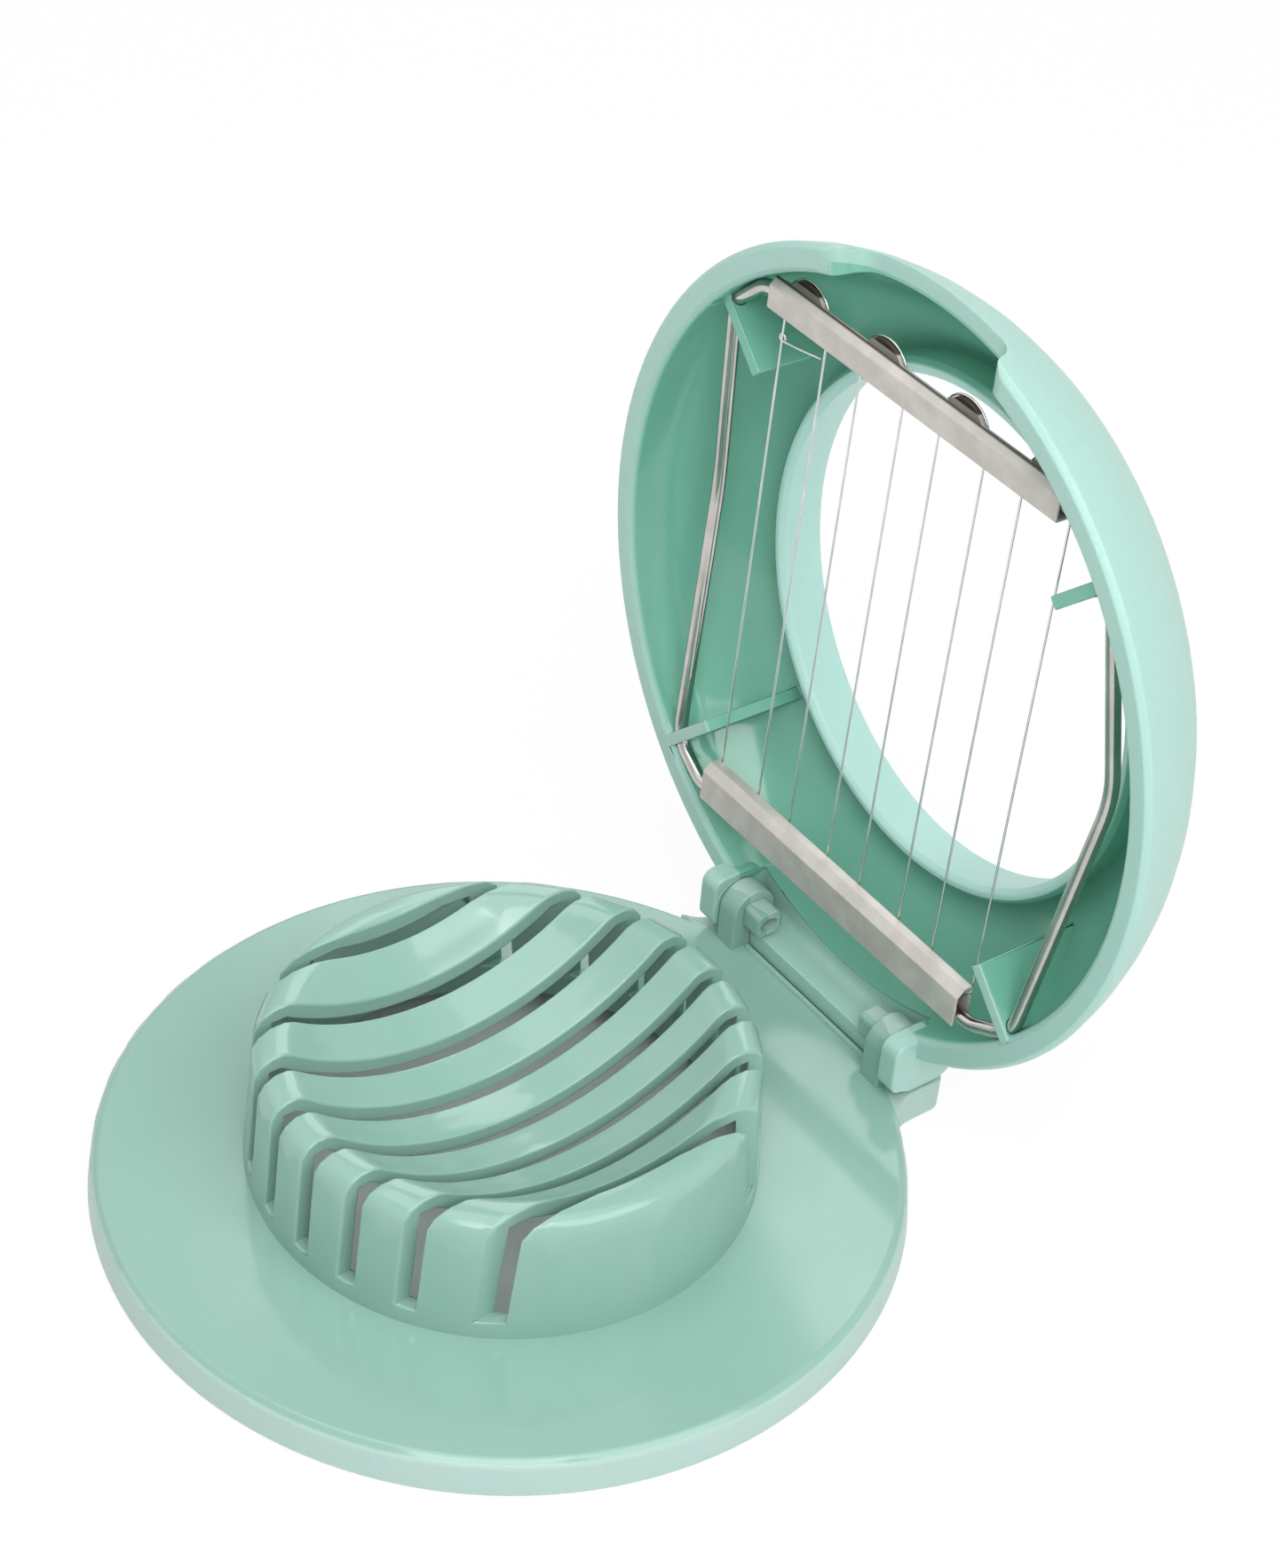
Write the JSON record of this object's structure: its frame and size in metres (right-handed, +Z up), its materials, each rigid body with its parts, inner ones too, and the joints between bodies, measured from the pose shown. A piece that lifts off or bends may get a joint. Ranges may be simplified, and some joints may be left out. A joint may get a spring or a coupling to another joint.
{
  "type": "egg_slicer",
  "caption": "Hand-held egg slicer: round plastic base with a slotted cradle, and a hinged oval lid with a round window that carries a steel frame of cutting wires.",
  "frame": {"origin": "bottom centre of the bounding box in the open pose, on the surface the base stands on", "axes": "+X along the hinge axis, +Y from the thumb side towards the hinge, +Z up"},
  "size_m": [0.11, 0.1302, 0.1207],
  "materials": {
    "base_plastic": "glossy mint-green moulded plastic, fine matt texture on the outer edge",
    "lid_plastic": "mint-green moulded plastic, glossy inside, fine matt texture outside",
    "rod_steel": "bright plated round bar",
    "bar_steel": "bright folded sheet steel",
    "wire_steel": "fine drawn stainless wire"
  },
  "bodies": {
    "base": {"base": "base_plastic"},
    "lid": {"lid": "lid_plastic", "left_rod": "rod_steel", "right_rod": "rod_steel", "front_bar": "bar_steel", "hinge_bar": "bar_steel", "cutting_wire_1": "wire_steel", "cutting_wire_2": "wire_steel", "cutting_wire_3": "wire_steel", "cutting_wire_4": "wire_steel"}
  },
  "joints": [
    {"name": "lid_hinge", "type": "hinge", "parent": "base", "child": "lid", "pos_m": [0, 0.04307, 0.0113], "axis": [1, 0, 0], "range_deg": [0, 92.5]}
  ]
}
